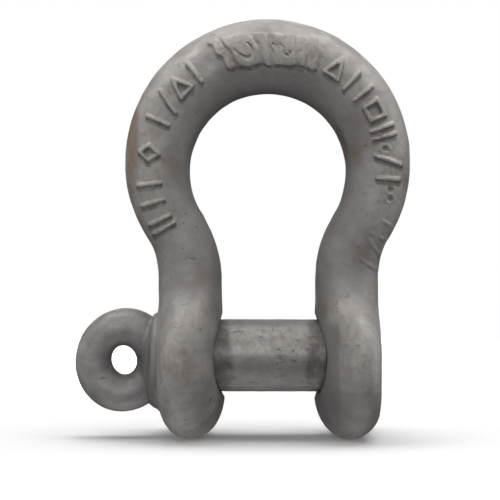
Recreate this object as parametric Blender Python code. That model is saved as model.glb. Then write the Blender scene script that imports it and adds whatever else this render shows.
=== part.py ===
"""Bow shackle with a screw pin, nominal size 22 mm (7/8 in), as two forgings.

The bow carries two ears. The screw pin enters the left ear's plain hole, crosses the jaw and
screws into the right ear until its collar seats on the left ear.

Axes: +X from the pin's eye to its threaded end, +Y to the back, +Z from the jaw to the crown.
Origin: on the axis of the pin's shank, in the middle of the jaw.
The dimensions below are millimetres, and metres() turns them into Blender's metres.
"""

import math

import bmesh
import bpy

# Bow: the centre line is a round bow, a reverse bend and a straight leg on each side.
BOW_CENTRE_Z = 67.7
BOW_R = 39.5
LEG_X = 28.15
REVERSE_BEND_R = 37.4
# The forging isn't quite symmetric: below this height both legs lean to +X at this slope.
LEAN_TOP_Z = 60.0
LEAN_SLOPE = 0.013

# Bar: half its size in the bow's plane and across it. It swells towards the crown.
SIDE_HALF = 11.6
CROWN_SWELL = 1.7
LEG_HALF = 11.35
SIDE_DEPTH_HALF = 11.4
CROWN_DEPTH_HALF = 12.0

# Ears: round in the side view, flat outside and crowned towards the jaw.
EAR_CENTRE_Z = -1.7
EAR_R = 28.1
EAR_FILLET_R = 24.0
EAR_RIM_X = 32.0
EAR_INNER_HALF = 16.0
EAR_OUTER_HALF = 8.8
EAR_INNER_POWER = 1.6
EAR_OUTER_POWER = 4.0
EAR_FULL_Z = 1.0
EAR_START_Z = 22.0
LOBE_TOP_Z = -11.0
LOBE_POWER = 2.2
LEFT_FACE_X = -39.4
RIGHT_FACE_X = 40.15

# Holes: a plain one on the left, and on the right a counterbore that runs into the thread.
PLAIN_HOLE_R = 13.9
COUNTERBORE_R = 13.9
THREAD_START_X = 22.3
EAR_THREAD_CREST_R = 12.75
EAR_THREAD_ROOT_R = 13.9

# Screw pin
PITCH = 3.175
SEAT_GAP = 0.3
SHANK_R = 13.0
SHANK_END_X = 21.6
PIN_THREAD_CREST_R = 12.45
PIN_THREAD_ROOT_R = 10.9
PIN_THREAD_START_X = 23.0
PIN_THREAD_END_X = 39.3
PIN_THREAD_END_R = 11.6
PIN_END_X = 40.5
PIN_END_R = 10.7
SEAT_FILLET = 0.5
SHANK_CHAMFER = 0.8

# The pin's head is forged this much below its shank's axis.
HEAD_DROP = 1.7
COLLAR_R = 17.6
COLLAR_THICKNESS = 1.9
COLLAR_ROUND = 0.8
NECK_START_X = -45.0
NECK_START_R = 9.0
NECK_END_R = 15.0
NECK_END_GAP = 0.5
EYE_X = -51.4
EYE_RIM_HALVES = (17.4, 18.8)
EYE_RIM_TILT = math.radians(-18.0)
EYE_HOLE_HALVES = (4.5, 5.25)
EYE_HOLE_TILT = math.radians(15.0)
EYE_HALF_DEPTH = 6.4
EYE_TRIM_X = -41.0

# Facets: stations along half of the bow, then sides round each section
BOW_STEPS = 21
BEND_STEPS = 6
SHOULDER_STEPS = 9
EAR_STEPS = 12
BAR_SIDES = 32
PIN_SIDES = 32
EYE_STATIONS = 32
EYE_SIDES = 16
CUTTER_OVERRUN = 12.0


def metres(point):
    return tuple(value * 0.001 for value in point)


def smooth_step(value, low, high):
    """0 below low, 1 above high, and an S-curve between."""
    share = min(max((value - low) / (high - low), 0.0), 1.0)
    return share * share * (3.0 - 2.0 * share)


def mix(first, second, share):
    return first + (second - first) * share


def signed_power(value, power):
    return math.copysign(abs(value) ** power, value)


def clear_scene():
    for leftover in list(bpy.data.objects):
        bpy.data.objects.remove(leftover, do_unlink=True)


def galvanised(name, colour, roughness):
    material = bpy.data.materials.new(name)
    material.use_nodes = True
    shader = material.node_tree.nodes["Principled BSDF"]
    shader.inputs["Base Color"].default_value = (*colour, 1.0)
    shader.inputs["Roughness"].default_value = roughness
    shader.inputs["Metallic"].default_value = 0.6
    return material


def object_from_rings(name, rings):
    """A closed body through rings of points. A ring of one point closes an end, and other ends are capped."""
    mesh_builder = bmesh.new()
    rows = [[mesh_builder.verts.new(metres(point)) for point in ring] for ring in rings]
    for row, following in zip(rows, rows[1:]):
        count = max(len(row), len(following))
        for side in range(count):
            corners = [
                row[side % len(row)],
                row[(side + 1) % len(row)],
                following[(side + 1) % len(following)],
                following[side % len(following)],
            ]
            mesh_builder.faces.new(dict.fromkeys(corners))
    for row in (rows[0], rows[-1]):
        if len(row) > 1:
            mesh_builder.faces.new(row)
    return finished_object(name, mesh_builder)


def finished_object(name, mesh_builder):
    bmesh.ops.remove_doubles(mesh_builder, verts=mesh_builder.verts, dist=1e-7)
    bmesh.ops.recalc_face_normals(mesh_builder, faces=mesh_builder.faces)
    mesh = bpy.data.meshes.new(name)
    mesh_builder.to_mesh(mesh)
    mesh_builder.free()
    mesh.shade_smooth()
    mesh.set_sharp_from_angle(angle=math.radians(35.0))
    made = bpy.data.objects.new(name, mesh)
    bpy.context.collection.objects.link(made)
    return made


def use_as_tool(body, tool, operation):
    """Cuts or joins tool to body with a Boolean, and keeps tool out of the render."""
    tool.hide_render = True
    tool.display_type = "WIRE"
    boolean = body.modifiers.new(tool.name, "BOOLEAN")
    boolean.operation = operation
    boolean.solver = "EXACT"
    boolean.object = tool


def circle(x, radius, centre_z=0.0):
    """A ring of points round the X direction."""
    turns = [math.tau * side / PIN_SIDES for side in range(PIN_SIDES)]
    return [(x, radius * math.sin(turn), centre_z + radius * math.cos(turn)) for turn in turns]


# ---------------------------------------------------------------- bow


def bar_section(centre, outward, inner_half, outer_half, depth_half, inner_power=2.0, outer_power=2.0):
    """A closed section in the plane of outward and Y: two half superellipses that meet at the rims."""
    points = []
    for side in range(BAR_SIDES):
        turn = math.tau * side / BAR_SIDES
        outside = math.cos(turn) >= 0.0
        power = outer_power if outside else inner_power
        half = outer_half if outside else inner_half
        along = half * signed_power(math.cos(turn), 2.0 / power)
        across = depth_half * signed_power(math.sin(turn), 2.0 / power)
        points.append((centre[0] + outward[0] * along, across, centre[1] + outward[1] * along))
    return points


def reverse_bend_centre():
    """Where an arc that touches both the bow's circle and the leg's line has its centre."""
    x = LEG_X + REVERSE_BEND_R
    reach = BOW_R + REVERSE_BEND_R
    return x, BOW_CENTRE_Z - math.sqrt(reach**2 - x**2)


def ear_half_depth(z):
    """Half the ear's and leg's size along Y: a disc, a fillet tangent to it and to the leg, and the leg."""
    fillet_y = SIDE_DEPTH_HALF + EAR_FILLET_R
    reach = EAR_R + EAR_FILLET_R
    fillet_z = EAR_CENTRE_Z + math.sqrt(reach**2 - fillet_y**2)
    meeting_z = mix(EAR_CENTRE_Z, fillet_z, EAR_R / reach)
    if z >= fillet_z:
        return SIDE_DEPTH_HALF
    if z >= meeting_z:
        return fillet_y - math.sqrt(EAR_FILLET_R**2 - (z - fillet_z) ** 2)
    return math.sqrt(max(EAR_R**2 - (z - EAR_CENTRE_Z) ** 2, 0.0))


def ear_section(z):
    """The level section of a right leg or ear at height z."""
    share = 1.0 - smooth_step(z, EAR_FULL_Z, EAR_START_Z)
    bottom = EAR_CENTRE_Z - EAR_R
    drop = min(max((LOBE_TOP_Z - z) / (LOBE_TOP_Z - bottom), 0.0), 1.0)
    lobe = (1.0 - drop**LOBE_POWER) ** (1.0 / LOBE_POWER)
    inner_half = mix(LEG_HALF, EAR_INNER_HALF, share)
    outer_half = mix(LEG_HALF, EAR_OUTER_HALF, share)
    full_rim_x = mix(LEG_X, EAR_RIM_X, share)
    middle_x = full_rim_x + 0.5 * (outer_half - inner_half)
    rim_x = mix(middle_x, full_rim_x, lobe)
    return bar_section(
        (rim_x, z),
        (1.0, 0.0),
        inner_half * lobe,
        outer_half * lobe,
        ear_half_depth(z),
        mix(2.0, EAR_INNER_POWER, share),
        mix(2.0, EAR_OUTER_POWER, share),
    )


def half_bow_sections():
    """Sections of the right half, from just beside the crown down to the ear's lowest point."""
    bend_x, bend_z = reverse_bend_centre()
    lowest = math.atan2(bend_z - BOW_CENTRE_Z, bend_x)
    sections = []
    for step in range(1, BOW_STEPS + 1):
        turn = mix(math.pi / 2.0, lowest, step / BOW_STEPS)
        outward = (math.cos(turn), math.sin(turn))
        half = SIDE_HALF + CROWN_SWELL * outward[1]
        depth = mix(SIDE_DEPTH_HALF, CROWN_DEPTH_HALF, max(outward[1], 0.0))
        centre = (BOW_R * outward[0], BOW_CENTRE_Z + BOW_R * outward[1])
        sections.append(bar_section(centre, outward, half, half, depth))
    half_at_bend = SIDE_HALF + CROWN_SWELL * math.sin(lowest)
    for step in range(1, BEND_STEPS + 1):
        share = step / BEND_STEPS
        turn = mix(lowest, 0.0, share)
        outward = (math.cos(turn), math.sin(turn))
        half = mix(half_at_bend, LEG_HALF, smooth_step(share, 0.0, 1.0))
        centre = (bend_x - REVERSE_BEND_R * outward[0], bend_z - REVERSE_BEND_R * outward[1])
        depth = ear_half_depth(centre[1])
        sections.append(bar_section(centre, outward, half, half, depth))
    for step in range(1, SHOULDER_STEPS + 1):
        sections.append(ear_section(mix(bend_z, EAR_CENTRE_Z, step / SHOULDER_STEPS)))
    for step in range(1, EAR_STEPS):
        turn = math.pi / 2.0 * step / EAR_STEPS
        sections.append(ear_section(EAR_CENTRE_Z - EAR_R * math.sin(turn)))
    tip = ear_section(EAR_CENTRE_Z - EAR_R)[0]
    sections.append([tip])
    return sections


def mirrored(section):
    return [(-x, y, z) for x, y, z in section]


def leaned(section):
    return [(x + LEAN_SLOPE * max(LEAN_TOP_Z - z, 0.0), y, z) for x, y, z in section]


def crown_section():
    half = SIDE_HALF + CROWN_SWELL
    return bar_section((0.0, BOW_CENTRE_Z + BOW_R), (0.0, 1.0), half, half, CROWN_DEPTH_HALF)


def make_bow():
    right = half_bow_sections()
    left = [mirrored(section) for section in reversed(right)]
    sections = left + [crown_section()] + right
    bow = object_from_rings("bow", [leaned(section) for section in sections])
    bow.data.materials.append(galvanised("galvanised_bow", (0.36, 0.35, 0.34), 0.55))
    use_as_tool(bow, ear_face_cutter("left_ear_face_cutter", LEFT_FACE_X, -CUTTER_OVERRUN), "DIFFERENCE")
    use_as_tool(bow, ear_face_cutter("right_ear_face_cutter", RIGHT_FACE_X, CUTTER_OVERRUN), "DIFFERENCE")
    use_as_tool(bow, plain_hole_cutter(), "DIFFERENCE")
    use_as_tool(bow, threaded_hole_cutter(), "DIFFERENCE")
    return bow


def ear_face_cutter(name, face_x, overrun):
    """Planes an ear's outer face flat."""
    radius = EAR_R + 2.0
    return object_from_rings(name, [circle(face_x, radius), circle(face_x + overrun, radius)])


def plain_hole_cutter():
    return object_from_rings(
        "plain_hole_cutter",
        [circle(LEFT_FACE_X - CUTTER_OVERRUN, PLAIN_HOLE_R), circle(-4.0, PLAIN_HOLE_R)],
    )


def threaded_hole_cutter():
    end = RIGHT_FACE_X + CUTTER_OVERRUN
    rings = [circle(4.0, COUNTERBORE_R)]
    rings += thread_rings(
        THREAD_START_X, end, EAR_THREAD_CREST_R, EAR_THREAD_ROOT_R, COUNTERBORE_R, EAR_THREAD_CREST_R
    )
    return object_from_spiral("threaded_hole_cutter", rings)


# ---------------------------------------------------------------- thread


def thread_rings(start_x, end_x, low_r, high_r, start_r, end_r):
    """Rows of a right-hand thread. Each row climbs one pitch a turn, and is held at the two ends.

    A row is a list of PIN_SIDES + 1 points: the last one lies a pitch beyond the first.
    """
    profile = [low_r, low_r, high_r, high_r]
    step = PITCH / len(profile)
    count = math.ceil((end_x - start_x) / step) + len(profile)
    rows = []
    for index in range(count + 1):
        row = []
        for side in range(PIN_SIDES + 1):
            turn = math.tau * side / PIN_SIDES
            x = start_x - PITCH + index * step + PITCH * side / PIN_SIDES
            radius = profile[index % len(profile)]
            if x <= start_x + 1e-6:
                x = start_x
                radius = start_r
            elif x >= end_x - 1e-6:
                x = end_x
                radius = end_r
            row.append((x, radius * math.sin(turn), radius * math.cos(turn)))
        rows.append(row)
    return rows


def object_from_spiral(name, rows):
    """A closed body through plain rings and thread rows, welded where the rows share points."""
    mesh_builder = bmesh.new()
    closed_rows = [row if len(row) > PIN_SIDES else row + [row[0]] for row in rows]
    for row, following in zip(closed_rows, closed_rows[1:]):
        for side in range(PIN_SIDES):
            corners = [row[side], row[side + 1], following[side + 1], following[side]]
            corners = list(dict.fromkeys(corners))
            if len(corners) > 2:
                mesh_builder.faces.new([mesh_builder.verts.new(metres(point)) for point in corners])
    for row in (closed_rows[0], closed_rows[-1]):
        mesh_builder.faces.new([mesh_builder.verts.new(metres(point)) for point in row[:-1]])
    return finished_object(name, mesh_builder)


# ---------------------------------------------------------------- screw pin


def make_pin_body():
    """Neck, collar, shank and thread."""
    seat_x = LEFT_FACE_X - SEAT_GAP
    collar_x = seat_x - COLLAR_THICKNESS
    head_z = -HEAD_DROP
    rings = [
        circle(NECK_START_X, NECK_START_R, head_z),
        circle(collar_x - NECK_END_GAP, NECK_END_R, head_z),
        circle(collar_x, COLLAR_R - COLLAR_ROUND, head_z),
        circle(collar_x + COLLAR_ROUND, COLLAR_R, head_z),
        circle(seat_x - 0.5 * COLLAR_ROUND, COLLAR_R, head_z),
        circle(seat_x, COLLAR_R - 0.5 * COLLAR_ROUND, head_z),
        circle(seat_x, SHANK_R + SEAT_FILLET),
        circle(seat_x + SEAT_FILLET, SHANK_R),
        circle(SHANK_END_X - SHANK_CHAMFER, SHANK_R),
        circle(SHANK_END_X, SHANK_R - SHANK_CHAMFER),
        circle(0.5 * (SHANK_END_X + PIN_THREAD_START_X), PIN_THREAD_ROOT_R),
    ]
    rings += thread_rings(
        PIN_THREAD_START_X,
        PIN_THREAD_END_X,
        PIN_THREAD_ROOT_R,
        PIN_THREAD_CREST_R,
        PIN_THREAD_ROOT_R,
        PIN_THREAD_END_R,
    )
    rings.append(circle(PIN_END_X, PIN_END_R))
    return object_from_spiral("screw_pin", rings)


def oval_reach(turn, halves, tilt):
    """How far an oval reaches from its middle in the direction turn."""
    level = math.cos(turn - tilt) / halves[0]
    upright = math.sin(turn - tilt) / halves[1]
    return 1.0 / math.hypot(level, upright)


def make_eye():
    """A ring whose section reaches from the oval hole to the oval rim, trimmed inside the collar."""
    rings = []
    for station in range(EYE_STATIONS + 1):
        turn = math.tau * station / EYE_STATIONS
        hole = oval_reach(turn, EYE_HOLE_HALVES, EYE_HOLE_TILT)
        rim = oval_reach(turn, EYE_RIM_HALVES, EYE_RIM_TILT)
        ring = []
        for side in range(EYE_SIDES):
            around = math.tau * side / EYE_SIDES
            reach = mix(hole, rim, 0.5 + 0.5 * math.cos(around))
            x = EYE_X + reach * math.cos(turn)
            z = reach * math.sin(turn) - HEAD_DROP
            ring.append((x, EYE_HALF_DEPTH * math.sin(around), z))
        rings.append(ring)
    mesh_builder = bmesh.new()
    for ring, following in zip(rings, rings[1:]):
        for side in range(EYE_SIDES):
            after = (side + 1) % EYE_SIDES
            corners = [ring[side], ring[after], following[after], following[side]]
            mesh_builder.faces.new([mesh_builder.verts.new(metres(point)) for point in corners])
    return finished_object("pin_eye", mesh_builder)


def eye_trimmer():
    """Removes the part of the eye's ring that would reach past the collar."""
    radius = COLLAR_R + CUTTER_OVERRUN
    return object_from_rings("eye_trimmer", [circle(EYE_TRIM_X, radius), circle(0.0, radius)])


def make_screw_pin():
    pin = make_pin_body()
    pin.data.materials.append(galvanised("galvanised_pin", (0.34, 0.33, 0.32), 0.45))
    eye = make_eye()
    use_as_tool(eye, eye_trimmer(), "DIFFERENCE")
    use_as_tool(pin, eye, "UNION")
    return pin


clear_scene()
make_bow()
make_screw_pin()
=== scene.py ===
"""Looks of the bow shackle: a forged, galvanised bow and its one-piece screw pin.

Both pieces are meshed from distance functions, which follow the outlines of the CAD model and add
what a forging has: blended joins, rounded hole rims, raised marks, a parting line and small dents.
A distance function gives roughly how far points lie outside a solid, and is negative inside it.
Lengths are millimetres until a mesh is made, in the frame of the CAD model.
"""

import math

import bpy
import numpy as np
import openvdb
from mathutils import Matrix, Vector


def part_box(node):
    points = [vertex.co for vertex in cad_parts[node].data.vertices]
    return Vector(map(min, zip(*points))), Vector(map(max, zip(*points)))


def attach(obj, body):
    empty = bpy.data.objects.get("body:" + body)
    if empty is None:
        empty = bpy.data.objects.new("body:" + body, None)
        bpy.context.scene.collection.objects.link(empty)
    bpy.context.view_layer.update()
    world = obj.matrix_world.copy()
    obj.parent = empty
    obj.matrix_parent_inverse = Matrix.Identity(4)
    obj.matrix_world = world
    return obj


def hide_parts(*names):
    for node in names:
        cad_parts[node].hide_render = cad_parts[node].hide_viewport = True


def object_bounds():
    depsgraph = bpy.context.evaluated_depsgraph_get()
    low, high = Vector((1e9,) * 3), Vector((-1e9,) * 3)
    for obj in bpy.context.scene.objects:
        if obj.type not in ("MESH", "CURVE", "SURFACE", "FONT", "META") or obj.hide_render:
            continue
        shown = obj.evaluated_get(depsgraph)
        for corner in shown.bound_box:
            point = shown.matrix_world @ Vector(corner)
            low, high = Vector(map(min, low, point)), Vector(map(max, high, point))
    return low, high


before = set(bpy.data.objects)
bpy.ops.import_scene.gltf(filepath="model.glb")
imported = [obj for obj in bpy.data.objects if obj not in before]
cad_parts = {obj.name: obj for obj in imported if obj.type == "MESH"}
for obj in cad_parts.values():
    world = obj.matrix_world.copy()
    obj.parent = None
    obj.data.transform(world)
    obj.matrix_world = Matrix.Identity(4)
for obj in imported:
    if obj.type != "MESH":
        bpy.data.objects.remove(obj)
cad_low, cad_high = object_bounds()

# ---------------------------------------------------------------- sizes

# These are the CAD model's, apart from the ears' outer sides, the boss, the neck and the collar.
# Those are rounder or finer here, and stay inside the CAD model's box.

# The bar, round the bow and through the reverse bends into the legs
BOW_CENTRE_Z = 67.7
BOW_R = 39.5
LEG_X = 28.15
BEND_R = 37.4
LEAN_TOP_Z = 60.0
LEAN_SLOPE = 0.013
SIDE_HALF = 11.6
CROWN_SWELL = 1.7
LEG_HALF = 11.35
SIDE_DEPTH_HALF = 11.4
CROWN_DEPTH_HALF = 12.0

# The ears
EAR_CENTRE_Z = -1.7
EAR_R = 28.1
EAR_FILLET_R = 24.0
EAR_RIM_X = 32.0
EAR_INNER_HALF = 16.0
EAR_OUTER_HALF = 8.8
EAR_INNER_POWER = 1.6
EAR_OUTER_POWER = 3.0
EAR_FULL_Z = 1.0
EAR_START_Z = 22.0
LOBE_TOP_Z = -11.0
LOBE_POWER = 2.2
LOBE_END = 0.3
LEFT_FACE_X = -39.4
RIGHT_FACE_X = 40.15
LEFT_FACE_ROUNDING = 0.3
RIGHT_FACE_ROUNDING = 0.9
FACE_CUT_MARGIN = 2.0
SEAT_BOSS_R = 17.7
SEAT_BOSS_ENDS = (-0.5, 3.0)
SEAT_BOSS_BLEND = 1.5
PLAIN_HOLE_R = 13.9
HOLE_ROUNDING = 1.8
THREAD_START_X = 22.3
EAR_THREAD_CREST_R = 12.75
EAR_THREAD_ROOT_R = 13.9
THREAD_RUN_IN = 0.6

# The screw pin
PITCH = 3.175
SEAT_X = LEFT_FACE_X - 0.04
SHANK_START_X = -42.0
SHANK_R = 13.0
SHANK_END_X = 21.6
SHANK_CHAMFER = 0.8
PIN_THREAD_CREST_R = 12.45
PIN_THREAD_ROOT_R = 10.9
PIN_THREAD_START_X = 23.0
PIN_THREAD_END_X = 39.3
PIN_END_X = 40.5
PIN_END_R = 10.7
TIP_CHAMFER = 1.2
HEAD_DROP = 1.7
COLLAR_DROP = 2.0
COLLAR_R = 17.35
COLLAR_START_R = 14.8
COLLAR_START_X = -42.05
COLLAR_LENGTH = 3.51
COLLAR_POWER = 1.5
COLLAR_TILT = 0.056
COLLAR_ROUNDING = 1.0
NECK_START_X = -46.5
NECK_START_R = 6.0
NECK_END_X = -41.3
NECK_END_R = 14.8
NECK_POWER = 1.5
NECK_BEFORE = 1.0
NECK_HOLE_R = 5.6
NECK_HOLE_ROUNDING = 3.0
HEAD_CUT_X = -41.0
HEAD_BLEND = 0.6
EYE_X = -51.4
EYE_RIM_HALVES = (17.4, 18.8)
EYE_RIM_TILT = math.radians(-18.0)
EYE_HOLE_HALVES = (4.5, 5.25)
EYE_HOLE_TILT = math.radians(15.0)
EYE_HALF_DEPTH = 6.4

BEND_X = LEG_X + BEND_R
BEND_Z = BOW_CENTRE_Z - math.sqrt((BOW_R + BEND_R) ** 2 - BEND_X**2)
LOWEST_TURN = math.atan2(BEND_Z - BOW_CENTRE_Z, BEND_X)

# ---------------------------------------------------------------- field tools


def smooth_step(value, low, high):
    """0 below low, 1 above high, and an S-curve between."""
    share = np.clip((value - low) / (high - low), 0.0, 1.0)
    return share * share * (3.0 - 2.0 * share)


def mix(first, second, share):
    """first where share is 0, and second where it is 1."""
    return first + (second - first) * share


def joined(first, second, blend):
    """The union of two solids, with a fillet about blend wide."""
    share = np.clip(0.5 + 0.5 * (second - first) / blend, 0.0, 1.0)
    return mix(second, first, share) - blend * share * (1.0 - share)


def cut(solid, tool, blend):
    """What is left of solid outside tool, with its new edge rounded."""
    return -joined(-solid, tool, blend)


def slope(field, points, step=0.05):
    """The gradient of field at points."""
    found = np.empty_like(points)
    for axis in range(3):
        offset = np.zeros(3)
        offset[axis] = step
        found[:, axis] = (field(points + offset) - field(points - offset)) / (2.0 * step)
    return found


def in_millimetres(field, points, step=0.05):
    """Turns a field of any steepness into a distance near its own surface."""
    value = field(points)
    steepness = np.zeros(len(points))
    for axis in range(3):
        offset = np.zeros(3)
        offset[axis] = step
        steepness += ((field(points + offset) - value) / step) ** 2
    return value / np.sqrt(np.maximum(steepness, 1e-6))


def waves(points, wavelength, seed, count=7):
    """Smooth unevenness, mostly between -1 and 1."""
    random = np.random.default_rng(seed)
    total = np.zeros(len(points))
    for _ in range(count):
        direction = random.normal(size=3)
        direction *= math.tau / (np.linalg.norm(direction) * wavelength * random.uniform(0.7, 1.4))
        total += np.sin(points @ direction + random.uniform(0.0, math.tau))
    return total / math.sqrt(count)


def segment_distance(u, t, start, end):
    """Distance in a plane from points (u, t) to a straight stroke."""
    along = np.array(end, float) - np.array(start, float)
    length = max(along @ along, 1e-9)
    share = np.clip(((u - start[0]) * along[0] + (t - start[1]) * along[1]) / length, 0.0, 1.0)
    return np.hypot(u - start[0] - share * along[0], t - start[1] - share * along[1])


# ---------------------------------------------------------------- the bow's blank


def ear_half_depth(z):
    """Half the size along Y: the ear's disc, then a fillet tangent to it and to the leg, then the leg."""
    fillet_y = SIDE_DEPTH_HALF + EAR_FILLET_R
    reach = EAR_R + EAR_FILLET_R
    fillet_z = EAR_CENTRE_Z + math.sqrt(reach**2 - fillet_y**2)
    meeting_z = mix(EAR_CENTRE_Z, fillet_z, EAR_R / reach)
    disc = np.sqrt(np.maximum(EAR_R**2 - (z - EAR_CENTRE_Z) ** 2, 1e-4))
    fillet = fillet_y - np.sqrt(np.maximum(EAR_FILLET_R**2 - (z - fillet_z) ** 2, 0.0))
    return np.where(z >= fillet_z, SIDE_DEPTH_HALF, np.where(z >= meeting_z, fillet, disc))


def ear_field(x, y, z):
    """An ear or a leg: a rounded block across the bar, which narrows to lobes at its foot."""
    disc = np.where(z < EAR_CENTRE_Z, np.hypot(y, z - EAR_CENTRE_Z) / EAR_R, 0.0)
    bottom = EAR_CENTRE_Z - EAR_R
    z = np.maximum(z, bottom + LOBE_END)
    share = 1.0 - smooth_step(z, EAR_FULL_Z, EAR_START_Z)
    drop = np.clip((LOBE_TOP_Z - z) / (LOBE_TOP_Z - bottom), 0.0, 1.0)
    lobe = np.maximum((1.0 - drop**LOBE_POWER) ** (1.0 / LOBE_POWER), 0.02)
    inner_half = mix(LEG_HALF, EAR_INNER_HALF, share)
    outer_half = mix(LEG_HALF, EAR_OUTER_HALF, share)
    full_rim_x = mix(LEG_X, EAR_RIM_X, share)
    middle_x = full_rim_x + 0.5 * (outer_half - inner_half)
    along = x - mix(middle_x, full_rim_x, lobe)
    outside = along >= 0.0
    power = mix(2.0, np.where(outside, EAR_OUTER_POWER, EAR_INNER_POWER), share)
    half = np.where(outside, outer_half, inner_half) * lobe
    total = np.abs(along / half) ** power + np.abs(y / ear_half_depth(z)) ** power
    return np.maximum(total ** (1.0 / power), disc) - 1.0


def bow_field(x, y, z):
    """The bar's ellipse, swept round the bow and then through a reverse bend."""
    rise = z - BOW_CENTRE_Z
    reach = np.hypot(x, rise)
    sine = rise / np.maximum(reach, 1e-6)
    half = SIDE_HALF + CROWN_SWELL * sine
    depth = mix(SIDE_DEPTH_HALF, CROWN_DEPTH_HALF, np.maximum(sine, 0.0))
    on_bow = np.hypot((reach - BOW_R) / half, y / depth)

    bend_reach = np.hypot(BEND_X - x, BEND_Z - z)
    bend_turn = np.arctan2(BEND_Z - z, BEND_X - x)
    start_half = SIDE_HALF + CROWN_SWELL * math.sin(LOWEST_TURN)
    bend_half = mix(start_half, LEG_HALF, smooth_step(1.0 - bend_turn / LOWEST_TURN, 0.0, 1.0))
    bend_depth = ear_half_depth(BEND_Z - BEND_R * np.sin(bend_turn))
    on_bend = np.hypot((BEND_R - bend_reach) / bend_half, y / bend_depth)
    return np.where(np.arctan2(rise, x) >= LOWEST_TURN, on_bow, on_bend) - 1.0


def blank_field(points):
    """Below zero inside the bow's bar and ears, before anything is cut."""
    x, y, z = points.T
    x = np.abs(x - LEAN_SLOPE * np.maximum(LEAN_TOP_Z - z, 0.0))
    low = z < BEND_Z
    field = np.empty(len(points))
    field[low] = ear_field(x[low], y[low], z[low])
    field[~low] = bow_field(x[~low], y[~low], z[~low])
    return field


# ---------------------------------------------------------------- raised marks on the bow's front

FRONT_Y = -4.0
MARK_R = 42.6
MARK_BAND = (31.0, 51.0)
MARK_NEAR_DEGREES = 8.0
MARK_HEIGHT = 1.0
STROKE_HALF = 0.6
STROKE_EDGE = (0.3, 0.5)

# Generic signs, as strokes: (outward, clockwise) in millimetres from the mark's middle
SIGNS = {
    "bar": [((-4.0, 0.0), (4.0, 0.0))],
    "pair": [((-4.0, -1.6), (4.0, -1.6)), ((-4.0, 1.6), (4.0, 1.6))],
    "slant": [((-4.4, -1.8), (4.4, 1.8))],
    "diamond": [
        ((-3.4, 0.0), (0.0, 2.7)),
        ((0.0, 2.7), (3.4, 0.0)),
        ((3.4, 0.0), (0.0, -2.7)),
        ((0.0, -2.7), (-3.4, 0.0)),
    ],
    "triangle": [
        ((-3.2, -3.0), (-3.2, 3.0)),
        ((-3.2, 3.0), (3.6, 0.0)),
        ((3.6, 0.0), (-3.2, -3.0)),
    ],
    "square": [
        ((-2.8, -2.8), (-2.8, 2.8)),
        ((-2.8, 2.8), (2.8, 2.8)),
        ((2.8, 2.8), (2.8, -2.8)),
        ((2.8, -2.8), (-2.8, -2.8)),
    ],
}

# Where they stand: degrees anticlockwise from +X about the bow's centre, and which sign
MARKS = [
    (208.0, "pair"),
    (197.0, "bar"),
    (188.0, "bar"),
    (173.0, "diamond"),
    (157.0, "bar"),
    (147.0, "slant"),
    (137.5, "triangle"),
    (128.0, "bar"),
    (56.0, "triangle"),
    (46.5, "bar"),
    (38.5, "bar"),
    (28.5, "square"),
    (17.5, "pair"),
    (4.0, "slant"),
    (-5.0, "bar"),
]

# The crown's pad: the start, end and height of each slanted block
PAD_R = 42.2
PAD_HALF = 5.8
PAD_HALF_LENGTH = 18.0
PAD_NEAR_DEGREES = 32.0
PAD_HEIGHT = 1.15
PAD_BLOCKS = (
    (-18.0, -14.6, 0.8),
    (-14.0, -4.4, 1.0),
    (-3.6, 0.2, 0.8),
    (1.0, 9.2, 1.0),
    (9.9, 12.8, 0.75),
    (13.5, 17.6, 0.9),
)

# Cut into the pad: an arc left of its middle and a wavy groove right of it
PAD_ARC_MIDDLE = 9.2
PAD_ARC_R = 3.0
PAD_GROOVE_MIDDLE = 5.1
PAD_GROOVE_HALF = 3.2

# Small pits that a centre punch left: x and z in millimetres
PUNCHES = ((43.2, 60.2), (43.2, 56.9), (41.3, 74.6))
PUNCH_R = 0.95
PUNCH_NEAR = 3.0
PUNCH_DEPTH = 1.1

# A worn, shallow stamp on the right arm
WORN_SIGNS = (((40.6, 45.6), "square"), ((38.4, 38.6), "slant"), ((36.2, 33.2), "bar"))
WORN_NEAR = 7.0
WORN_COSINE = 0.87
WORN_SINE = 0.5
WORN_HEIGHT = 0.32


def strokes_height(outward, clockwise, strokes, grow):
    """1 on the strokes, 0 off them. grow widens them."""
    distance = np.full(len(outward), np.inf)
    for start, end in strokes:
        distance = np.minimum(distance, segment_distance(outward, clockwise, start, end))
    half = STROKE_HALF + grow
    return 1.0 - smooth_step(distance, half - STROKE_EDGE[0], half + STROKE_EDGE[1])


def slab(across, up, half_across, half_up, corner):
    """Distance in a plane to a rounded rectangle."""
    across = np.abs(across) - half_across + corner
    up = np.abs(up) - half_up + corner
    outside = np.hypot(np.maximum(across, 0.0), np.maximum(up, 0.0))
    return outside + np.minimum(np.maximum(across, up), 0.0) - corner


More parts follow.
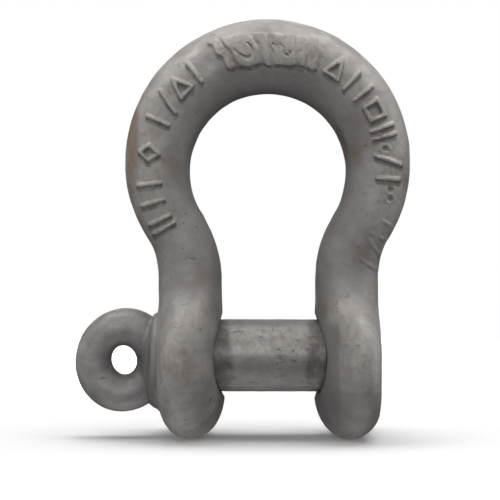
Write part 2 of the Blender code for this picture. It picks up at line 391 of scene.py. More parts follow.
def pad_height(reach, sideways, uneven):
    """A worn pad: slanted blocks on a low base, with an arc and a wavy groove cut into them."""
    outward = reach - PAD_R - 0.005 * sideways**2 + 0.45 * uneven
    slanted = sideways + 0.3 * outward + 0.35 * uneven
    base = slab(slanted, outward, PAD_HALF_LENGTH, PAD_HALF, 3.5)
    height = 0.5 * (1.0 - smooth_step(base, -0.4, 0.5))
    for start, end, share in PAD_BLOCKS:
        block = slab(slanted - 0.5 * (start + end), outward, 0.5 * (end - start), PAD_HALF, 1.2)
        height = np.maximum(height, share * (1.0 - smooth_step(block, -0.5, 0.5)))
    arc = np.abs(np.hypot(slanted + PAD_ARC_MIDDLE, outward) - PAD_ARC_R)
    arc += 2.0 * smooth_step(outward - 0.4 * slanted, 4.5, 6.5)
    groove = np.abs(outward - 1.8 * np.sin(slanted * 0.75))
    groove += 2.0 * (np.abs(slanted - PAD_GROOVE_MIDDLE) > PAD_GROOVE_HALF)
    cuts = 1.0 - smooth_step(np.minimum(arc, groove), 0.15, 0.75)
    return height - 0.4 * cuts * (height > 0.6)


def marks_height(points, grow=0.0):
    """How far the front's marks stand above the blank. grow widens them, to find what is near one."""
    x, y, z = points.T
    rise = z - BOW_CENTRE_Z
    reach = np.hypot(x, rise)
    turn = np.degrees(np.arctan2(rise, x))
    height = np.zeros(len(points))
    front = (y < FRONT_Y) & (reach > MARK_BAND[0]) & (reach < MARK_BAND[1])
    for degrees, sign in MARKS:
        away = (turn - degrees + 180.0) % 360.0 - 180.0
        near = front & (np.abs(away) < MARK_NEAR_DEGREES)
        clockwise = -np.radians(away[near]) * MARK_R
        mark = strokes_height(reach[near] - MARK_R, clockwise, SIGNS[sign], grow)
        height[near] = np.maximum(height[near], MARK_HEIGHT * mark)
    near = front & (np.abs(turn - 90.0) < PAD_NEAR_DEGREES)
    sideways = np.radians(90.0 - turn[near]) * PAD_R
    pad = pad_height(reach[near] - grow, sideways, waves(points[near], 6.0, 41))
    height[near] = np.maximum(height[near], PAD_HEIGHT * pad)
    return height


def punches_depth(points):
    """How far the front lies below the blank in the punched pits."""
    x, y, z = points.T
    depth = np.zeros(len(points))
    for at_x, at_z in PUNCHES:
        near = (y < FRONT_Y) & (np.abs(x - at_x) < PUNCH_NEAR) & (np.abs(z - at_z) < PUNCH_NEAR)
        away = np.hypot(x[near] - at_x, z[near] - at_z)
        pit = PUNCH_DEPTH * (1.0 - smooth_step(away, 0.3 * PUNCH_R, 1.25 * PUNCH_R))
        lip = 0.22 * np.exp(-(((away - 1.7 * PUNCH_R) / 0.5) ** 2))
        depth[near] += pit - lip
    return depth


def worn_height(points):
    """The worn stamp, turned with the arm and broken up by wear."""
    x, y, z = points.T
    height = np.zeros(len(points))
    for (at_x, at_z), sign in WORN_SIGNS:
        near = (y < FRONT_Y) & (np.abs(x - at_x) < WORN_NEAR) & (np.abs(z - at_z) < WORN_NEAR)
        away_x = x[near] - at_x
        away_z = z[near] - at_z
        outward = WORN_COSINE * away_x - WORN_SINE * away_z
        clockwise = -WORN_SINE * away_x - WORN_COSINE * away_z
        mark = strokes_height(outward, clockwise, SIGNS[sign], 0.0)
        wear = 0.6 + 0.4 * waves(points[near], 5.0, 31)
        height[near] = np.maximum(height[near], WORN_HEIGHT * mark * wear)
    return height


# ---------------------------------------------------------------- the finished bow


def thread_radius(points, start_x, low_r, high_r):
    """Radius of a right-hand thread with flat crests and roots."""
    x, y, z = points.T
    turn = np.arctan2(y, z) / math.tau
    phase = ((x - start_x) / PITCH + 1.0 - turn) % 1.0 * 4.0
    climb = np.clip(phase - 1.0, 0.0, 1.0) - np.clip(phase - 3.0, 0.0, 1.0)
    return mix(low_r, high_r, climb)


def bore_distance(points):
    """Below zero inside the two ears' holes."""
    x, y, z = points.T
    radius = np.hypot(y, z)
    threaded = thread_radius(points, THREAD_START_X, EAR_THREAD_CREST_R, EAR_THREAD_ROOT_R)
    share = smooth_step(x, THREAD_START_X - THREAD_RUN_IN, THREAD_START_X + THREAD_RUN_IN)
    return radius - np.where(x < 0.0, PLAIN_HOLE_R, mix(PLAIN_HOLE_R, threaded, share))


def ear_face_cutter(points, face_x, side):
    """Below zero beyond an ear's flat outer face. side is -1 on the left and 1 on the right."""
    x, y, z = points.T
    beyond = side * (face_x - x)
    return np.maximum(beyond, np.hypot(y, z) - EAR_R - FACE_CUT_MARGIN)


def seat_boss(points):
    """The low round boss on the left ear, which the pin's collar seats on."""
    x, y, z = points.T
    from_face = x - LEFT_FACE_X
    ends = np.maximum(SEAT_BOSS_ENDS[0] - from_face, from_face - SEAT_BOSS_ENDS[1])
    return np.maximum(np.hypot(y, z + COLLAR_DROP) - SEAT_BOSS_R, ends)


def forging_texture(points):
    """Unevenness left by the hammer, and the trimmed parting line."""
    y = points[:, 1]
    height = 0.08 * waves(points, 18.0, 11) + 0.035 * waves(points, 6.0, 12) - 0.08
    return height + 0.12 * np.exp(-((y / 0.7) ** 2))


def bow_distance(points, detailed=False):
    """The bow. detailed adds the forging's texture and the worn stamp."""
    blank = in_millimetres(blank_field, points)
    blank = blank - marks_height(points) + punches_depth(points)
    if detailed:
        blank = blank - forging_texture(points) - worn_height(points)
    blank = joined(blank, seat_boss(points), SEAT_BOSS_BLEND)
    blank = cut(blank, ear_face_cutter(points, LEFT_FACE_X, -1.0), LEFT_FACE_ROUNDING)
    blank = cut(blank, ear_face_cutter(points, RIGHT_FACE_X, 1.0), RIGHT_FACE_ROUNDING)
    return cut(blank, bore_distance(points), HOLE_ROUNDING)


# ---------------------------------------------------------------- the finished screw pin


def oval_reach(turn, halves, tilt):
    """How far a tilted ellipse reaches from its middle, in the direction turn."""
    return 1.0 / np.hypot(np.cos(turn - tilt) / halves[0], np.sin(turn - tilt) / halves[1])


def eye_field(points):
    """A ring whose round section fills the space between an oval hole and an oval rim."""
    x, y, z = points.T
    along = x - EYE_X
    up = z + HEAD_DROP
    turn = np.arctan2(up, along)
    hole = oval_reach(turn, EYE_HOLE_HALVES, EYE_HOLE_TILT)
    rim = oval_reach(turn, EYE_RIM_HALVES, EYE_RIM_TILT)
    from_middle = np.hypot(along, up) - 0.5 * (hole + rim)
    return np.hypot(from_middle / (0.5 * (rim - hole)), y / EYE_HALF_DEPTH) - 1.0


def collar_start(z):
    """Where the collar begins. The eye was forged a little askew, so this plane leans."""
    return COLLAR_START_X + COLLAR_TILT * (z + COLLAR_DROP)


def head_distance(points):
    """The eye, which flares into a round neck, and the domed collar that seats on the ear."""
    x, y, z = points.T
    radius = np.hypot(y, z + HEAD_DROP)
    eye = np.maximum(in_millimetres(eye_field, points), x - HEAD_CUT_X)

    climb = np.clip((x - NECK_START_X) / (NECK_END_X - NECK_START_X), -0.35, 1.0)
    outline = mix(NECK_START_R, NECK_END_R, np.sign(climb) * np.abs(climb) ** NECK_POWER)
    ends = np.maximum(NECK_START_X - NECK_BEFORE - x, x - HEAD_CUT_X)
    neck = np.maximum(0.65 * (radius - outline), ends)
    from_hole = np.hypot(x - EYE_X, z + HEAD_DROP)
    neck = cut(neck, from_hole - NECK_HOLE_R, NECK_HOLE_ROUNDING)

    # The fillets are wide at the front and back, and nearly sharp at the top and bottom
    sideways = np.abs(y) / np.maximum(radius, 1e-3)
    flare = joined(eye, neck, 0.3 + 3.7 * sideways * smooth_step(from_hole, 6.5, 12.0))

    out = np.clip((SEAT_X - x) / COLLAR_LENGTH, 0.0, 2.0)
    dome_r = mix(COLLAR_R, COLLAR_START_R, out**COLLAR_POWER)
    dome = 0.8 * (np.hypot(y, z + COLLAR_DROP) - dome_r)
    collar = np.maximum(cut(dome, x - collar_start(z), COLLAR_ROUNDING), x - SEAT_X)
    return joined(flare, collar, 0.4 + 1.6 * sideways)


def shank_distance(points):
    """The plain shank, a step down to the thread's root, the thread and its tapered tip."""
    x, y, z = points.T
    radius = np.hypot(y, z)
    threaded = thread_radius(points, PIN_THREAD_START_X, PIN_THREAD_ROOT_R, PIN_THREAD_CREST_R)
    tip = np.interp(x, (PIN_THREAD_END_X - TIP_CHAMFER, PIN_END_X), (PIN_THREAD_CREST_R, PIN_END_R))
    start = smooth_step(x, PIN_THREAD_START_X, PIN_THREAD_START_X + 1.0)
    threaded = mix(PIN_THREAD_ROOT_R, np.minimum(threaded, tip), start)
    plain = np.interp(
        x,
        (SHANK_END_X - SHANK_CHAMFER, SHANK_END_X, SHANK_END_X + 0.7),
        (SHANK_R, SHANK_R - SHANK_CHAMFER, PIN_THREAD_ROOT_R),
    )
    outline = np.where(x < PIN_THREAD_START_X, plain, threaded)
    return np.maximum(radius - outline, np.maximum(SHANK_START_X - x, x - PIN_END_X))


def pin_distance(points, detailed=False):
    """The screw pin. detailed adds unevenness to its head and its shank."""
    solid = joined(head_distance(points), shank_distance(points), HEAD_BLEND)
    if detailed:
        x = points[:, 0]
        on_head = 1.0 - smooth_step(x, -43.5, -41.0)
        on_shank = smooth_step(x, -39.0, -36.0) * (1.0 - smooth_step(x, 19.0, 21.5))
        solid = solid - on_head * (0.05 * waves(points, 14.0, 21) + 0.015 * waves(points, 5.0, 22))
        solid = solid - on_shank * 0.03 * waves(points * (1.0, 0.5, 0.5), 7.0, 23)
    return solid


# ---------------------------------------------------------------- where dirt, wear, painted shade and painted light lie


def facing(normals, points, middle):
    """1 where the surface faces middle, an (x, z) point, and 0 where it faces sideways or away."""
    toward = np.array(middle) - points[:, (0, 2)]
    toward /= np.maximum(np.linalg.norm(toward, axis=1, keepdims=True), 1e-6)
    return np.maximum((normals[:, (0, 2)] * toward).sum(1), 0.0)


def patch(points, middle, size):
    """1 at middle, an (x, z) point, fading to 0 over size, its half-width and half-height."""
    across = (points[:, 0] - middle[0]) / size[0]
    up = (points[:, 2] - middle[1]) / size[1]
    return np.exp(-(across**2) - up**2)


# Paler patches on the bow's front, on the arms and the ears' fronts: middle, size and strength
PALE_PATCHES = (
    ((-43.0, 68.0), (6.5, 18.0), 1.2),
    ((43.5, 70.0), (6.5, 17.0), 1.1),
    ((-33.0, -12.0), (9.0, 14.0), 0.7),
    ((-31.0, 4.0), (8.0, 9.0), 0.8),
    ((35.0, 5.0), (8.5, 12.0), 1.2),
)

# Brown patches on the bow's front: middle, size and strength
STAINS = (
    ((-49.0, 82.0), (3.2, 13.0), 1.2),
    ((-48.5, 64.0), (2.8, 10.0), 0.8),
    ((48.5, 66.0), (2.5, 14.0), 0.7),
    ((-32.0, 66.0), (4.0, 11.0), 0.5),
    ((31.0, 73.0), (3.0, 8.0), 0.7),
    ((-24.0, 26.0), (4.0, 9.0), 0.5),
    ((24.0, 20.0), (3.5, 12.0), 0.5),
    ((-32.0, 5.0), (6.0, 8.0), 0.3),
    ((34.0, 38.0), (5.0, 7.0), 0.4),
)

# Small scars on the bow's front
SCARS = (
    ((-29.7, 39.9), (1.8, 1.4), 1.0),
    ((-32.0, 26.6), (2.2, 1.4), 0.8),
    ((27.5, 21.5), (1.2, 3.2), 0.9),
    ((-20.0, -14.5), (1.6, 3.0), 1.0),
    ((-33.0, 93.0), (3.0, 2.0), 0.8),
    ((29.0, 48.0), (2.5, 2.0), 0.8),
)


def patches(points, table):
    """The sum of a table's patches."""
    return sum(strength * patch(points, middle, size) for middle, size, strength in table)


def bow_paint(points, normals):
    """Painted shadow under the marks, painted shade by the pin and inside the bow, a dark line, wear on
    what stands proud, pale and dark patches, brown stains and scars.
    """
    x, y, z = points.T
    front = y < 0.0
    height = marks_height(points) / MARK_HEIGHT
    # Painted shadow just below each raised mark and below the pad's lower edge
    just_under = marks_height(points + (0.0, 0.0, 0.7), 0.15) / MARK_HEIGHT
    further_under = marks_height(points + (0.0, 0.0, 1.6), 0.2) / MARK_HEIGHT
    under = np.clip(np.maximum(1.2 * just_under, 0.8 * further_under) - 0.9 * height, 0.0, 1.0)
    # Painted shade round the holes on the ears' inner faces and above the pin, where the shank meets the
    # ears
    rim = np.exp(-(((np.hypot(y, z) - PLAIN_HOLE_R) / 2.5) ** 2)) * (np.abs(x) < 27.0)
    above_pin = np.exp(-(((z - 17.0) / 7.0) ** 2)) * np.exp(-(((np.abs(x) - 19.0) / 4.0) ** 2))
    reach = np.hypot(x, z - BOW_CENTRE_Z)
    # A dark line along the right arm's inner edge
    inner_edge = np.exp(-(((reach - 28.4) / 1.3) ** 2) - ((z - 78.0) / 12.0) ** 2) * (x > 0.0)
    # Painted shade on surfaces that face into the bow: the crown's underside and the arms' inner sides
    inward = facing(normals, points, (0.0, BOW_CENTRE_Z))
    inward *= 0.85 * smooth_step(z, 20.0, 40.0) + 0.85 * smooth_step(z, 85.0, 100.0)
    # The ears' feet darker, mostly the right one's
    ear_foot = (1.0 - smooth_step(z + 0.06 * x, -9.5, -7.5)) * np.where(x > 0.0, 1.0, 0.15)
    # Painted shade on the right ear's inner side, beside the shank
    inner_strip = (1.0 - smooth_step(x, 24.2, 25.6)) * (x > 18.0) * (1.0 - smooth_step(z, 10.0, 16.0))
    # A darker band across the legs
    legs = 0.5 * np.exp(-(((z - 29.0) / 9.0) ** 2))
    on_pad = smooth_step(reach, 35.0, 36.5) * (1.0 - smooth_step(reach, 48.0, 50.0))
    on_pad *= smooth_step(z, 105.0, 107.0)
    stain = patches(points, STAINS) * (0.6 + 0.4 * front) + 0.25 * on_pad * height
    return {
        "dirt_and_shade": np.clip(0.95 * under + 0.7 * rim + 0.5 * above_pin + 0.7 * inner_edge, 0.0, 1.0),
        "wear": np.clip(height + patches(points, PALE_PATCHES) * front, 0.0, 1.0),
        "shade_and_dark_tone": np.clip(inward + 0.75 * ear_foot + 0.9 * inner_strip + legs, 0.0, 1.0),
        "stain": np.clip(stain, 0.0, 1.0),
        "scuff": np.clip(patches(points, SCARS) * front, 0.0, 1.0),
    }


# Scuffed places on the shank's front
SHANK_SCUFFS = (
    ((6.5, -0.5), (8.0, 3.0), 1.0),
    ((-4.0, 9.5), (14.0, 1.6), 0.8),
    ((12.0, 7.0), (4.0, 3.0), 0.6),
    ((-5.0, -7.0), (2.0, 2.0), 0.9),
)

# Painted shade on the shank's front where it enters the ears, and on the neck beside the eye's hole
SHANK_END_SHADE = (
    ((17.5, -4.5), (4.5, 4.5), 0.8),
    ((-17.0, -5.0), (4.5, 4.0), 0.7),
    ((-16.5, 1.0), (4.0, 6.0), 0.6),
)
NECK_SHADE = (((-45.0, -1.7), (3.0, 9.0), 0.5),)

# The middle of what shows of the shank, between the ears
SHANK_MIDDLE_X = 0.4


def pin_paint(points, normals):
    """Painted shade where the shank enters the ears, in the head's creases and round the eye's hole, thin
    dark lines, wear along the shank's upper front, painted light on the eye's top, brown stains and
    scuffs.
    """
    x, y, z = points.T
    on_shank = smooth_step(x, -38.0, -36.0)
    on_head = 1.0 - on_shank
    # Painted shade at the shank's ends, where it enters the ears
    ends = smooth_step(np.abs(x - SHANK_MIDDLE_X), 11.0, 17.5)
    lines = np.exp(-(((z + 10.9 + 0.25 * waves(points * (1.0, 0.0, 0.0), 9.0, 51)) / 0.35) ** 2))
    climb = np.degrees(np.arctan2(z, -y))
    upper = smooth_step(climb, 0.0, 12.0) * (1.0 - smooth_step(climb, 50.0, 68.0))
    between = 1.0 - smooth_step(np.abs(x - SHANK_MIDDLE_X), 12.5, 16.0)
    # Painted shade round the eye's hole and in the valley where the collar begins
    hole = 1.0 - smooth_step(np.hypot(x - EYE_X, z + HEAD_DROP), 5.0, 11.5)
    valley = np.exp(-(((x - collar_start(z)) / 1.0) ** 2))
    lower = 1.0 - smooth_step(climb, -25.0, 5.0)
    # Painted shade on the head's side beside the ear
    beside_ear = smooth_step(x, -48.5, -44.0)
    # Painted light: the eye's top paler
    eye_top = smooth_step(z, 6.0, 14.0)
    shank_shade_and_lines = 0.85 * ends + patches(points, SHANK_END_SHADE) + 0.6 * lines
    head_crease_shade = 0.45 * valley + patches(points, NECK_SHADE)
    head_shade = np.maximum(0.55 * hole, 0.85 * beside_ear)
    return {
        "dirt_and_shade": np.clip(on_shank * shank_shade_and_lines + on_head * head_crease_shade, 0.0, 1.0),
        # Wear along the shank's upper front, and painted light on the eye's top
        "wear": on_shank * upper * between + 0.5 * on_head * eye_top,
        # The shank a little darker outside its worn upper front, and painted shade round the eye's hole
        # and beside the ear
        "shade_and_dark_tone": np.clip(0.3 * on_shank * (1.0 - upper) + on_head * head_shade, 0.0, 1.0),
        "stain": on_shank * (0.2 + 0.2 * lower),
        "scuff": np.clip(on_shank * patches(points, SHANK_SCUFFS), 0.0, 1.0),
    }


# ---------------------------------------------------------------- meshes

VOXEL = 0.67
PIN_VOXEL = 0.72 * VOXEL
FIELD_LIMIT = 3.0
SURFACE_STEPS = 3

# The grid's blocks: voxels along a side, and the reach within which a block is sampled in full,
# as a share of its side (half its diagonal) and then in millimetres
BLOCK = 8
BLOCK_REACH = 0.87
BLOCK_MARGIN = 1.6
BLOCKS_AT_ONCE = 800

# The boxes that the grids fill, a little larger than the pieces
BOW_GRID = ((-54.0, -30.0, -32.0), (54.0, 30.0, 123.0))
PIN_GRID = ((-72.0, -20.0, -23.0), (43.0, 20.0, 20.0))


def sampled(distance, low, counts, voxel):
    """distance on a grid of blocks. Blocks far from the surface only get their middle's value."""
    blocks = np.stack(np.meshgrid(*[np.arange(n) for n in counts], indexing="ij"), -1).reshape(-1, 3)
    middles = distance(low + (blocks + 0.5) * BLOCK * voxel)
    values = np.repeat(middles, BLOCK**3).reshape(-1, BLOCK**3)
    near = np.abs(middles) < BLOCK * voxel * BLOCK_REACH + BLOCK_MARGIN
    inside_block = np.stack(np.meshgrid(*[np.arange(BLOCK)] * 3, indexing="ij"), -1).reshape(-1, 3)
    for part in np.array_split(np.flatnonzero(near), max(near.sum() // BLOCKS_AT_ONCE, 1)):
        corners = blocks[part][:, None, :] * BLOCK + inside_block[None]
        values[part] = distance(low + corners.reshape(-1, 3) * voxel).reshape(len(part), -1)
    values = values.reshape(*counts, BLOCK, BLOCK, BLOCK).transpose(0, 3, 1, 4, 2, 5)
    return np.ascontiguousarray(values.reshape([n * BLOCK for n in counts]), dtype=np.float32)


def meshed(name, node, distance, paint, extent, voxel, finish=None):
    """A closed mesh object on the surface where distance is zero, kept inside the CAD node's box.

    paint gives values for vertex layers that the material reads. finish may move points and normals.
    """
    low, high = np.array(extent)
    counts = [math.ceil((high[i] - low[i]) / (BLOCK * voxel)) for i in range(3)]
    grid = openvdb.FloatGrid(FIELD_LIMIT)
    grid.copyFromArray(np.clip(sampled(distance, low, counts, voxel), -FIELD_LIMIT, FIELD_LIMIT))
    points, triangles, quads = grid.convertToPolygons(isovalue=0.0, adaptivity=0.0)
    points = low + points.astype(float) * voxel

    def detailed(where):
        return distance(where, detailed=True)

    for _ in range(SURFACE_STEPS):
        normals = slope(detailed, points)
        steepness = np.maximum((normals**2).sum(1), 0.05)
        steps = normals * (detailed(points) / steepness)[:, None]
        lengths = np.linalg.norm(steps, axis=1, keepdims=True)
        points -= steps * np.minimum(1.0, 0.5 * voxel / np.maximum(lengths, 1e-9))
    node_low, node_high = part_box(node)
    points = np.clip(points, np.array(node_low) * 1000.0, np.array(node_high) * 1000.0)
    normals = slope(detailed, points)
    normals /= np.maximum(np.linalg.norm(normals, axis=1, keepdims=True), 1e-9)
    if finish:
        finish(points, normals, voxel)

    faces = triangles.tolist() + quads.tolist()
    mesh = bpy.data.meshes.new(name)
    mesh.from_pydata((points * 0.001).tolist(), [], faces)
    mesh.update()
    mesh.shade_smooth()
    for layer, values in paint(points, normals).items():
        mesh.attributes.new(layer, "FLOAT", "POINT").data.foreach_set("value", values.astype(np.float32))
    mesh.normals_split_custom_set_from_vertices(normals.tolist())
    made = bpy.data.objects.new(name, mesh)
    bpy.context.collection.objects.link(made)
    return made


def to_seat_edge(points, normals, voxel):
    """Moves the collar's last ring of points onto its sharp edge, which a grid rounds off."""
    x, y, z = points.T
    outward = np.stack([np.zeros(len(x)), y, z + COLLAR_DROP], -1)
    radius = np.linalg.norm(outward, axis=1)
    near = 0.75 * voxel
    rim = (radius > COLLAR_R - near) & (x > SEAT_X - near) & (x < SEAT_X + 0.2)
    outward = outward[rim] / radius[rim, None]
    points[rim] = outward * COLLAR_R + (SEAT_X, 0.0, -COLLAR_DROP)
    normals[rim] = outward


def make_bow():
    """The bow with its two ears."""
    bow = meshed("forged_bow", "bow", bow_distance, bow_paint, BOW_GRID, VOXEL)
    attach(bow, "bow")
    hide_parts("bow")
    return bow


def make_pin():
    """The screw pin with its eye and collar."""
    pin = meshed(
        "forged_screw_pin", "screw_pin", pin_distance, pin_paint, PIN_GRID, PIN_VOXEL, to_seat_edge
    )
    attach(pin, "screw_pin")
    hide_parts("screw_pin")
    return pin


# ---------------------------------------------------------------- camera, floor and light

AIM = Vector((-6.26, 0.0, 37.984)) * 0.001
CAMERA_AZIMUTH = math.radians(-1.057)
CAMERA_ELEVATION = math.radians(3.054)
CAMERA_ROLL = math.radians(0.207)
CAMERA_DISTANCE = 0.7991
WIDTH_AT_AIM = 0.17969
SENSOR_WIDTH = 36.0


def make_camera():
    """The camera, almost level and square to the bow's front."""
    forward = Vector(
        (
            -math.sin(CAMERA_AZIMUTH) * math.cos(CAMERA_ELEVATION),
            math.cos(CAMERA_AZIMUTH) * math.cos(CAMERA_ELEVATION),
            -math.sin(CAMERA_ELEVATION),
        )
    )
    right = Vector((math.cos(CAMERA_AZIMUTH), math.sin(CAMERA_AZIMUTH), 0.0))
    up = right.cross(forward)
    rolled_right = right * math.cos(CAMERA_ROLL) + up * math.sin(CAMERA_ROLL)
    rolled_up = up * math.cos(CAMERA_ROLL) - right * math.sin(CAMERA_ROLL)
    data = bpy.data.cameras.new("camera")
    data.sensor_width = SENSOR_WIDTH
    data.lens = SENSOR_WIDTH * CAMERA_DISTANCE / WIDTH_AT_AIM
    camera = bpy.data.objects.new("camera", data)
    bpy.context.collection.objects.link(camera)
    turned = Matrix((rolled_right, rolled_up, -forward)).transposed()
    camera.matrix_world = Matrix.Translation(AIM - forward * CAMERA_DISTANCE) @ turned.to_4x4()
    bpy.context.scene.camera = camera


def make_area_light(name, direction, distance, size, energy):
    """A square soft light that faces the object from direction."""
    data = bpy.data.lights.new(name, "AREA")
    data.shape = "SQUARE"
    data.size = size
    data.energy = energy
    light = bpy.data.objects.new(name, data)
    bpy.context.collection.objects.link(light)
    direction = Vector(direction).normalized()
    light.location = AIM + direction * distance
    light.visible_camera = False
    light.rotation_euler = direction.to_track_quat("Z", "Y").to_euler()
    return light


# name, direction from the object, distance and side of the square in metres, watts
LIGHTS = (
    ("overhead_left", (-0.5, 0.0, 1.0), 0.4, 0.3, 0.72),
    ("overhead_right", (0.5, 0.0, 1.0), 0.4, 0.3, 0.85),
    ("overhead_back", (0.0, 0.5, 1.0), 0.35, 0.3, 0.12),
    ("high_left", (-1.0, -0.2, 1.0), 1.2, 1.0, 1.2),
    ("high_right", (1.0, -0.2, 1.0), 1.2, 1.0, 2.0),
    ("front_high", (0.0, -1.0, 0.5), 1.2, 1.0, 3.4),
    ("front", (0.0, -1.0, 0.05), 1.2, 1.0, 1.2),
    ("front_left", (-1.0, -1.0, 0.2), 1.2, 1.0, 1.95),
    ("left", (-1.0, 0.0, 0.1), 1.2, 1.0, 2.4),
    ("right", (1.0, 0.0, 0.1), 1.2, 1.0, 2.9),
    ("low_left", (-1.0, -0.6, -0.5), 1.2, 1.0, 0.5),
    ("low_right", (1.0, -0.6, -0.5), 1.2, 1.0, 0.8),
    ("back_left", (-1.0, 0.6, 0.4), 1.2, 1.0, 0.8),
    ("back_right", (1.0, 0.6, 0.4), 1.2, 1.0, 0.8),
    ("back", (0.0, 1.0, 0.3), 1.2, 1.0, 1.8),
    ("underneath", (0.0, -0.1, -1.0), 0.3, 0.35, 0.31),
)

FLOOR_R = 0.4
FLOOR_SIDES = 96

# The floor turns as white as the studio between these distances from the object, so no horizon shows
FLOOR_FADE = (0.13, 0.2)


def make_floor():
    """A pale disc with a light of its own. It takes shadows, but sheds no light on the object."""
    material = bpy.data.materials.new("pale_floor")
    n = Nodes(material)
    n.shader.inputs["Base Color"].default_value = (0.9, 0.9, 0.9, 1.0)
    n.shader.inputs["Roughness"].default_value = 1.0
    n.shader.inputs["Specular IOR Level"].default_value = 0.0
    n.shader.inputs["Emission Color"].default_value = (1.0, 1.0, 1.0, 1.0)
    away = n.add("ShaderNodeVectorMath", operation="LENGTH")
    n.link(n.place, away.inputs[0])
    n.link(n.ramp(away.outputs["Value"], *FLOOR_FADE), n.shader.inputs["Emission Strength"])

    turns = [math.tau * i / FLOOR_SIDES for i in range(FLOOR_SIDES)]
    rim = [(FLOOR_R * math.cos(turn), FLOOR_R * math.sin(turn), cad_low.z) for turn in turns]
    mesh = bpy.data.meshes.new("floor")
    mesh.from_pydata(rim, [], [range(FLOOR_SIDES)])
    mesh.materials.append(material)
    floor = bpy.data.objects.new("floor", mesh)
    bpy.context.collection.objects.link(floor)
    floor.visible_diffuse = False
    floor.visible_glossy = False
    floor.visible_shadow = False

    floor_light = make_area_light("floor_light", (0.0, 0.1, 1.0), 1.0, 0.3, 2.5)
    only_floor = bpy.data.collections.new("lit_by_floor_light")
    only_floor.objects.link(floor)
    floor_light.light_linking.receiver_collection = only_floor


def make_studio():
    """A white surround that the camera sees, and that doesn't light the object."""
    world = bpy.data.worlds.new("studio")
    bpy.context.scene.world = world
    world.use_nodes = True
    world.node_tree.nodes["Background"].inputs["Color"].default_value = (1.0, 1.0, 1.0, 1.0)
    world.cycles_visibility.diffuse = False
    world.cycles_visibility.glossy = False
    bpy.context.scene.view_settings.view_transform = "Standard"


# ---------------------------------------------------------------- galvanised steel


class Nodes:
    """Short ways to add and link shader nodes."""

    def __init__(self, material):
        material.use_nodes = True
        self.tree = material.node_tree
        self.shader = self.tree.nodes["Principled BSDF"]
        self.place = self.add("ShaderNodeTexCoord").outputs["Object"]

    def add(self, kind, **settings):
        node = self.tree.nodes.new(kind)
        for name, value in settings.items():
            setattr(node, name, value)
        return node

    def link(self, value, socket):
        if isinstance(value, bpy.types.NodeSocket):
            self.tree.links.new(value, socket)
        else:
            socket.default_value = value

    def noise(self, size, detail=4.0, roughness=0.55, distortion=0.0, stretch=None):
        """Noise with features about size millimetres across. stretch makes them longer along an axis."""
        node = self.add("ShaderNodeTexNoise")
        self.link(self.stretched(stretch) if stretch else self.place, node.inputs["Vector"])
        node.inputs["Scale"].default_value = 1000.0 / size
        node.inputs["Detail"].default_value = detail
        node.inputs["Roughness"].default_value = roughness
        node.inputs["Distortion"].default_value = distortion
        return node.outputs["Fac"]

    def stretched(self, factors):
        """The place, squeezed along each axis so that what is drawn there comes out longer."""
        node = self.add("ShaderNodeMapping")
        self.link(self.place, node.inputs["Vector"])
        node.inputs["Scale"].default_value = [1.0 / factor for factor in factors]
        return node.outputs["Vector"]

    def cells(self, size):
        """Distance to the nearest of scattered points, about size millimetres apart."""
        node = self.add("ShaderNodeTexVoronoi")
        self.link(self.place, node.inputs["Vector"])
        node.inputs["Scale"].default_value = 1000.0 / size
        return node.outputs["Distance"]

    def layer(self, name):
        """A vertex layer that was painted on the mesh."""
        return self.add("ShaderNodeAttribute", attribute_name=name).outputs["Fac"]

    def math(self, operation, first, second):
        node = self.add("ShaderNodeMath", operation=operation)
        self.link(first, node.inputs[0])
        self.link(second, node.inputs[1])
        return node.outputs[0]

    def times(self, first, second):
        return self.math("MULTIPLY", first, second)

    def ramp(self, value, low, high, to_low=0.0, to_high=1.0):
        """An S-curve from to_low to to_high as value goes from low to high."""
        node = self.add("ShaderNodeMapRange", interpolation_type="SMOOTHSTEP")
        self.link(value, node.inputs["Value"])
        node.inputs["From Min"].default_value = low
        node.inputs["From Max"].default_value = high
        node.inputs["To Min"].default_value = to_low
        node.inputs["To Max"].default_value = to_high
        return node.outputs["Result"]

    def mix_colour(self, share, first, second):
        """first where share is 0, and second where it is 1."""
        node = self.add("ShaderNodeMix", data_type="RGBA")
        self.link(share, node.inputs["Factor"])
        self.link(first, node.inputs["A"])
        self.link(second, node.inputs["B"])
        return node.outputs["Result"]

    def bump(self, height, distance, strength, normal=None):
        """The normal bent by height. distance is in millimetres."""
        node = self.add("ShaderNodeBump")
        self.link(height, node.inputs["Height"])
        node.inputs["Distance"].default_value = distance * 0.001
        node.inputs["Strength"].default_value = strength
        if normal is not None:
            self.link(normal, node.inputs["Normal"])
        return node.outputs["Normal"]


# A cool grey standing in for painted shade and darker tone, brown and rust for stains, and a near black
# for grime, pits and scratches and for painted shade and shadow
SHADE_AND_DARK_GREY = (0.20, 0.192, 0.198, 1.0)
BROWN_STAIN = (0.245, 0.207, 0.18, 1.0)
RUST_STAIN = (0.21, 0.15, 0.11, 1.0)
GRIME_AND_SHADE = (0.075, 0.062, 0.056, 1.0)


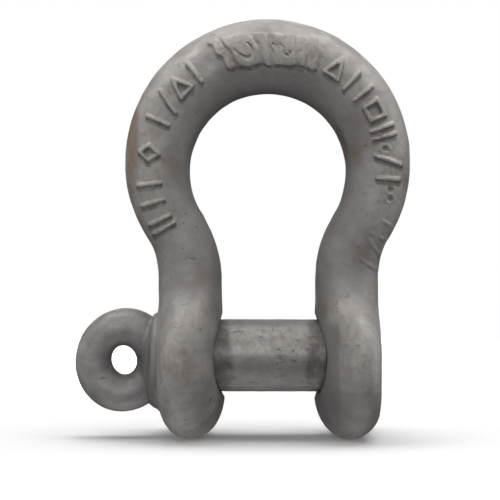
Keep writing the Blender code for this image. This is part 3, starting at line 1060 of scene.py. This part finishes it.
def galvanised(name, light, dark, bright, wear_and_light_share, roughness, scratch_share):
    """Dull hot-dip zinc over a forged skin: cloudy greys, brown stains, grime, pits and scratches, with
    painted shade, painted shadow and painted light from the painted layers.
    """
    material = bpy.data.materials.new(name)
    n = Nodes(material)
    cloud = n.ramp(n.noise(15.0, 6.0, 0.62, 0.3), 0.38, 0.62)
    colour = n.mix_colour(cloud, dark, light)
    mottle = n.ramp(n.noise(4.5, 5.0, 0.6, 0.6), 0.38, 0.66)
    colour = n.mix_colour(n.times(mottle, 0.34), colour, dark)
    # Painted shade in a cool grey inside the bow, round the eye's hole and beside the ear, and darker
    # tone on the ears' feet, the legs and the shank
    colour = n.mix_colour(n.times(n.layer("shade_and_dark_tone"), 0.75), colour, SHADE_AND_DARK_GREY)
    # Paler where worn, and painted light on the eye's top
    worn_and_lit = n.times(n.layer("wear"), n.ramp(n.noise(3.0, 5.0, 0.7, 0.5), 0.34, 0.6, 0.15, 1.0))
    colour = n.mix_colour(n.times(worn_and_lit, wear_and_light_share), colour, bright)

    stains = n.math("ADD", n.noise(11.0, 7.0, 0.65, 0.4), n.times(n.layer("stain"), 0.2))
    colour = n.mix_colour(n.ramp(stains, 0.5, 0.76, 0.0, 0.75), colour, BROWN_STAIN)
    rust_clouds = n.ramp(n.noise(6.0, 5.0, 0.6), 0.33, 0.58)
    rust = n.times(n.ramp(n.layer("stain"), 0.35, 0.9), rust_clouds)
    colour = n.mix_colour(n.times(rust, 0.75), colour, RUST_STAIN)
    # Grime, and painted shade and shadow: under the marks, round the holes, where the shank meets the
    # ears and in the head's creases
    grime_and_shade_clouds = n.ramp(n.noise(4.0, 6.0, 0.65), 0.3, 0.6, 0.25, 1.0)
    grime_and_shade = n.times(n.ramp(n.layer("dirt_and_shade"), 0.15, 0.9), grime_and_shade_clouds)
    colour = n.mix_colour(n.times(grime_and_shade, 0.75), colour, GRIME_AND_SHADE)

    pits = n.times(n.ramp(n.cells(5.5), 0.04, 0.12, 1.0, 0.0), n.ramp(n.noise(18.0), 0.48, 0.6))
    scratches = n.noise(1.7, 4.0, 0.6, 0.8, (2.2, 1.0, 1.0))
    scratches = n.math("ADD", scratches, n.times(n.layer("scuff"), 0.1))
    scratches = n.times(n.ramp(scratches, 0.63, 0.7), scratch_share)
    marred = n.math("MAXIMUM", pits, scratches)
    colour = n.mix_colour(n.times(marred, 0.55), colour, GRIME_AND_SHADE)
    grain = n.ramp(n.noise(0.9, 4.0, 0.75), 0.3, 0.7)
    colour = n.mix_colour(n.times(grain, 0.25), colour, dark)
    n.link(colour, n.shader.inputs["Base Color"])
    n.shader.inputs["Metallic"].default_value = 0.35
    uneven = n.math("SUBTRACT", n.noise(6.0, 6.0, 0.6), n.times(worn_and_lit, 0.12))
    uneven = n.ramp(uneven, 0.3, 0.7, roughness - 0.08, roughness + 0.12)
    n.link(uneven, n.shader.inputs["Roughness"])

    skin = n.bump(n.noise(3.4, 5.0, 0.6), 0.4, 0.6)
    skin = n.bump(n.noise(0.8, 4.0, 0.65), 0.1, 0.55, skin)
    skin = n.bump(marred, -0.2, 0.6, skin)
    n.link(skin, n.shader.inputs["Normal"])
    return material


bow = make_bow()
pin = make_pin()
bow_finish = galvanised(
    "galvanised_bow_finish",
    light=(0.43, 0.41, 0.392, 1.0),
    dark=(0.30, 0.278, 0.266, 1.0),
    bright=(0.50, 0.475, 0.445, 1.0),
    wear_and_light_share=0.8,
    roughness=0.56,
    scratch_share=0.7,
)
pin_finish = galvanised(
    "galvanised_pin_finish",
    light=(0.41, 0.403, 0.395, 1.0),
    dark=(0.285, 0.275, 0.27, 1.0),
    bright=(0.53, 0.505, 0.47, 1.0),
    wear_and_light_share=0.8,
    roughness=0.48,
    scratch_share=0.9,
)
bow.data.materials.append(bow_finish)
pin.data.materials.append(pin_finish)
make_camera()
make_floor()
make_studio()
for light in LIGHTS:
    make_area_light(*light)
